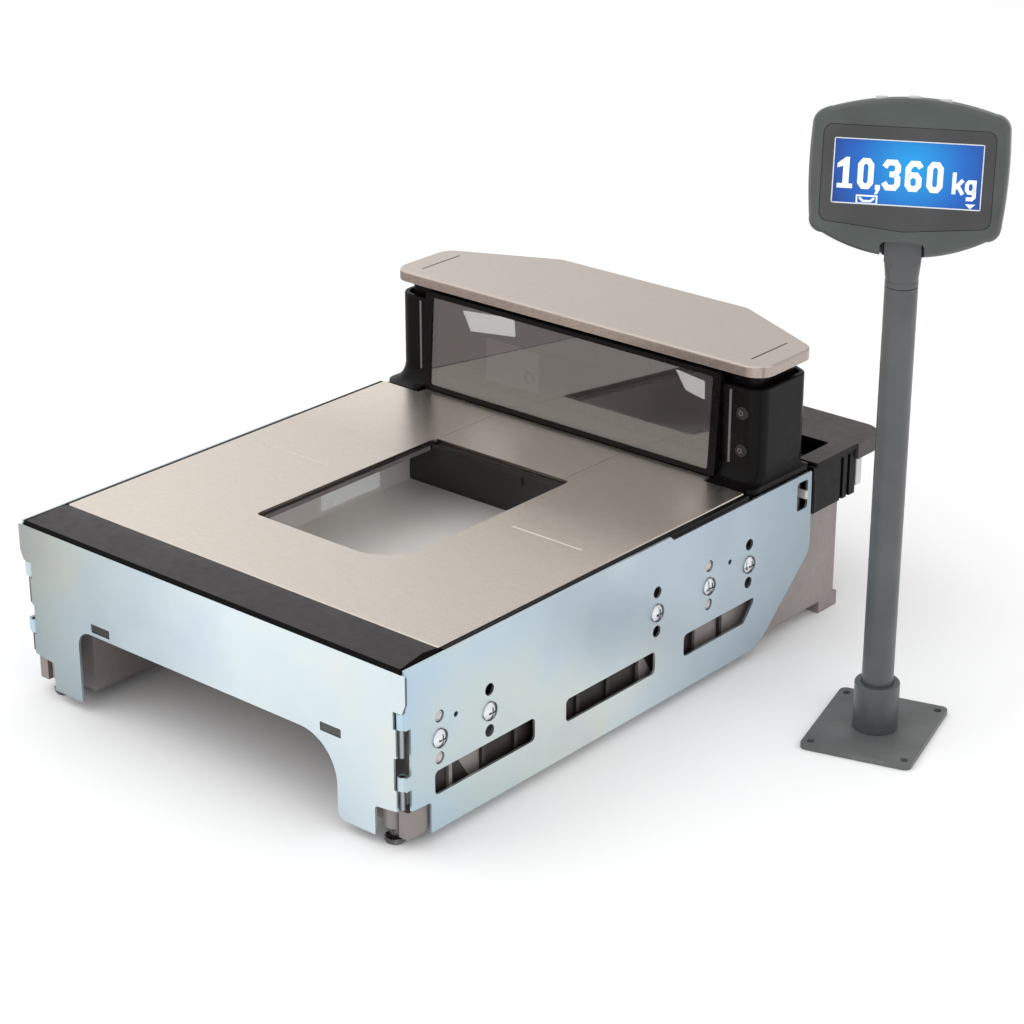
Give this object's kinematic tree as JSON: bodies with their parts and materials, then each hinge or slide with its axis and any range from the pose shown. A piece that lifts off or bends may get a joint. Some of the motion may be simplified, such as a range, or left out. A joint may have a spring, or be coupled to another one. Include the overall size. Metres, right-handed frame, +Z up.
{
  "type": "checkout scanner scale",
  "caption": "Drop-in checkout scanner scale: steel-skirted body, stainless weighing platter with scan window, low tower with upright scan window, separate weight display on a pole.",
  "frame": {"origin": "centre of the drop-in body's footprint, on the shelf of the counter well that it stands on", "axes": "+X across the width towards the weight display, +Y from the operator's edge to the tower, +Z up"},
  "size_m": [0.4467, 0.432, 0.3598],
  "materials": {
    "zinc_plate": "blue-passivated zinc plate, satin",
    "stainless": "fine brushed stainless",
    "bright_steel": "bright plated",
    "cast_grey": "painted casting, satin",
    "aluminium": "machined",
    "black_plastic": "fine-textured moulding",
    "tub_grey": "satin moulding",
    "dark_rubber": "matt",
    "smoked_glass": "smoked, polished",
    "scan_glass": "clear, polished",
    "mirror": "polished",
    "lens": "translucent",
    "circuit_board": "solder mask",
    "socket_plastic": "moulded",
    "display_grey": "fine-textured grey-green",
    "face_grey": "satin grey-green",
    "screen": "lit display",
    "pale_keys": "pale moulding"
  },
  "bodies": {
    "base": {"base_casting": "cast_grey", "front_panel": "zinc_plate", "right_side_panel": "zinc_plate", "left_side_panel": "zinc_plate", "corner_pins": "bright_steel", "panel_screws": "bright_steel", "front_bezel": "black_plastic", "right_side_rail": "black_plastic", "left_side_rail": "black_plastic", "load_cells": "aluminium", "optics_tub": "tub_grey", "optics_bench": "black_plastic", "scan_mirrors": "mirror", "polygon_motor": "black_plastic", "laser_module": "black_plastic", "tower_housing": "black_plastic", "tower_window_frame": "black_plastic", "tower_glass": "smoked_glass", "cover_gasket": "dark_rubber", "tower_cover": "stainless", "status_lenses": "lens", "key_board": "circuit_board", "rear_housing": "black_plastic", "rear_deck": "black_plastic", "data_sockets": "socket_plastic", "power_socket": "black_plastic", "main_board": "circuit_board", "speaker": "black_plastic", "latch_pegs": "black_plastic", "pole_base_plate": "display_grey", "pole_collar": "display_grey", "pole_tube": "display_grey"},
    "right_foot": {"right_levelling_foot": "bright_steel"},
    "left_foot": {"left_levelling_foot": "bright_steel"},
    "scale": {"weigh_carrier": "aluminium", "platter_pads": "dark_rubber"},
    "platter": {"platter": "stainless", "centre_plate": "stainless", "platter_glass": "scan_glass", "platter_frame": "black_plastic"},
    "spinner": {"polygon_mirror": "mirror"},
    "zero_key": {"zero_button": "black_plastic"},
    "volume_key": {"volume_button": "black_plastic"},
    "neck": {"pole_neck": "display_grey", "tilt_pin": "bright_steel"},
    "head": {"head_front_shell": "display_grey", "head_rear_shell": "display_grey", "face_plate": "face_grey", "lcd_panel": "screen", "display_board": "circuit_board"},
    "left_display_key": {"left_display_button": "pale_keys"},
    "middle_display_key": {"middle_display_button": "pale_keys"},
    "right_display_key": {"right_display_button": "pale_keys"}
  },
  "joints": [
    {"name": "right_foot_height", "type": "slide", "parent": "base", "child": "right_foot", "axis": [0, 0, 1], "range_m": [-0.003, 0.003]},
    {"name": "left_foot_height", "type": "slide", "parent": "base", "child": "left_foot", "axis": [0, 0, 1], "range_m": [-0.003, 0.003]},
    {"name": "weigh_travel", "type": "slide", "parent": "base", "child": "scale", "axis": [0, 0, 1], "range_m": [-0.0004, 0], "stiffness_N_per_m": 300000, "springref_m": 0.0001},
    {"name": "platter_lift", "type": "slide", "parent": "scale", "child": "platter", "axis": [0, 0, 1], "range_m": [0, 0.06]},
    {"name": "mirror_spin", "type": "hinge", "parent": "base", "child": "spinner", "pos_m": [0.062, -0.1, 0.074], "axis": [0, 0, 1], "continuous": true},
    {"name": "zero_press", "type": "slide", "parent": "base", "child": "zero_key", "axis": [0, 1, 0], "range_m": [0, 0.001], "stiffness_N_per_m": 800, "springref_m": -0.0004},
    {"name": "volume_press", "type": "slide", "parent": "base", "child": "volume_key", "axis": [0, 1, 0], "range_m": [0, 0.001], "stiffness_N_per_m": 800, "springref_m": -0.0004},
    {"name": "neck_swivel", "type": "hinge", "parent": "base", "child": "neck", "pos_m": [0.2504, 0.095, 0.261], "axis": [0, 0, 1], "range_deg": [-150, 150]},
    {"name": "head_tilt", "type": "hinge", "parent": "neck", "child": "head", "pos_m": [0.2504, 0.095, 0.286], "axis": [0.8788, 0.4772, 0], "range_deg": [-20, 15]},
    {"name": "left_display_press", "type": "slide", "parent": "head", "child": "left_display_key", "axis": [0.0992, -0.1827, -0.9781], "range_m": [0, 0.0008], "stiffness_N_per_m": 800, "springref_m": -0.0004},
    {"name": "middle_display_press", "type": "slide", "parent": "head", "child": "middle_display_key", "axis": [0.0992, -0.1827, -0.9781], "range_m": [0, 0.0008], "stiffness_N_per_m": 800, "springref_m": -0.0004},
    {"name": "right_display_press", "type": "slide", "parent": "head", "child": "right_display_key", "axis": [0.0992, -0.1827, -0.9781], "range_m": [0, 0.0008], "stiffness_N_per_m": 800, "springref_m": -0.0004}
  ]
}
